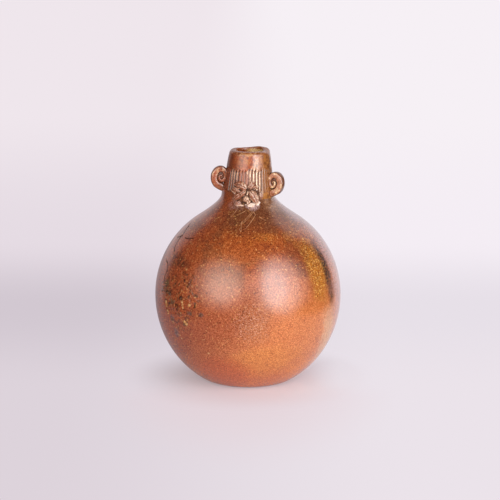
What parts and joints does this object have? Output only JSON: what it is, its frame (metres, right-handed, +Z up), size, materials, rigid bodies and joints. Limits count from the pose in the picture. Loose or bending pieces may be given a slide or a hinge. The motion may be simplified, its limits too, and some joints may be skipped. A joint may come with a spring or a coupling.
{
  "type": "globular bottle vase",
  "caption": "Wood-fired stoneware flower bottle: round body on a flat base, fluted tapering neck with rolled scroll lugs and an applied leaf spray at its foot.",
  "frame": {"origin": "centre of the flat base, on the surface the bottle stands on", "axes": "+Z up along the bottle's axis; -Y the front, where the spray of leaves is; +X the viewer's right, the way the neck leans"},
  "size_m": [0.186, 0.186, 0.2336],
  "materials": {
    "bowl_clay": "satin, speckled",
    "shoulder_clay": "satin, with natural ash",
    "neck_clay": "satin, ash-glossed",
    "lug_clay": "satin, ash-glossed",
    "spray_clay": "satin, ash-glossed"
  },
  "bodies": {
    "root": {"lower_bowl": "bowl_clay", "shoulder_dome": "shoulder_clay", "neck_tube": "neck_clay", "left_scroll_lug": "lug_clay", "right_scroll_lug": "lug_clay", "leaf_upper_left": "spray_clay", "leaf_upper_right": "spray_clay", "leaf_long_right": "spray_clay", "leaf_small_right": "spray_clay", "leaf_left": "spray_clay", "leaf_lower_left": "spray_clay", "bud": "spray_clay", "twig_left": "spray_clay", "twig_centre": "spray_clay"}
  },
  "joints": []
}
